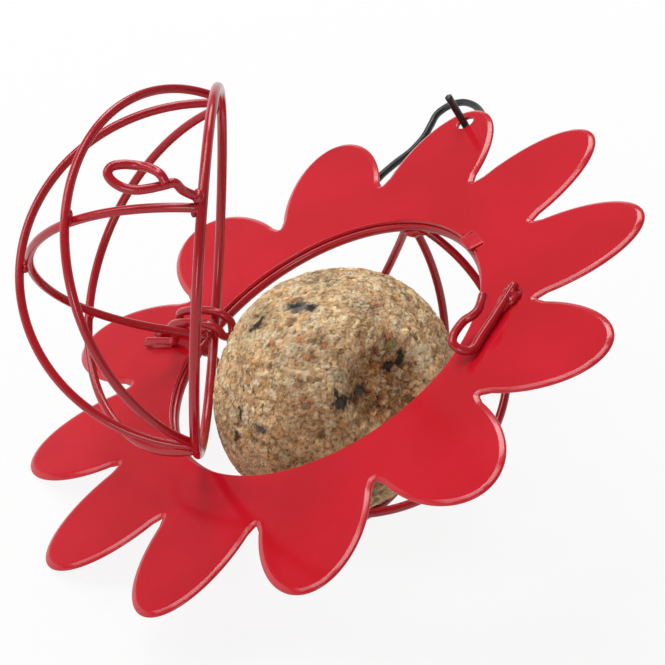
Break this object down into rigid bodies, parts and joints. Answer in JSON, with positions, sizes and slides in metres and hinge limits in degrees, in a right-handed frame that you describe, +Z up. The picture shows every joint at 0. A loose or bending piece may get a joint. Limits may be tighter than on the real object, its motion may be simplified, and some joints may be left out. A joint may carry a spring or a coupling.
{
  "type": "suet feeder",
  "caption": "Hanging suet feeder: a sheet-metal flower with a wire cage behind its round hole, a hinged wire cage in front, a catch, a hook and a suet ball.",
  "frame": {"origin": "on the table, under the middle of the part's bounding box", "axes": "+Z up from the table; the flower leans back with its face towards -X and up, its hanging petal towards +X and +Y; +Y is across it"},
  "size_m": [0.1472, 0.1688, 0.1149],
  "materials": {
    "red_coat": "gloss powder coat",
    "black_coat": "satin",
    "suet_and_seed": "rough, pressed seed and fat"
  },
  "bodies": {
    "flower": {"flower_plate": "red_coat", "hinge_staple": "red_coat", "catch_clip": "red_coat", "rear_rim": "red_coat", "rear_rib_left": "red_coat", "rear_rib_middle": "red_coat", "rear_rib_right": "red_coat", "rear_equator": "red_coat"},
    "front_cage": {"front_rim": "red_coat", "front_rib_left": "red_coat", "front_rib_middle": "red_coat", "front_rib_right": "red_coat", "front_equator": "red_coat", "finger_loop": "red_coat"},
    "suet_ball": {"suet_ball": "suet_and_seed"},
    "hook": {"hanging_hook": "black_coat"}
  },
  "joints": [
    {"name": "front_cage_swing", "type": "hinge", "parent": "flower", "child": "front_cage", "pos_m": [-0.03186, 0.00558, 0.03551], "axis": [-0.0827, -0.9731, -0.2151], "range_deg": [-59.7, 0]},
    {"name": "ball_lift", "type": "slide", "parent": "flower", "child": "suet_ball", "axis": [-0.018, -0.1406, 0.9899], "range_m": [0, 0.11]},
    {"name": "hook_rock", "type": "hinge", "parent": "flower", "child": "hook", "pos_m": [0.05056, 0.05725, 0.07658], "axis": [0.5964, -0.7071, 0.3799], "range_deg": [-10, 26]}
  ]
}
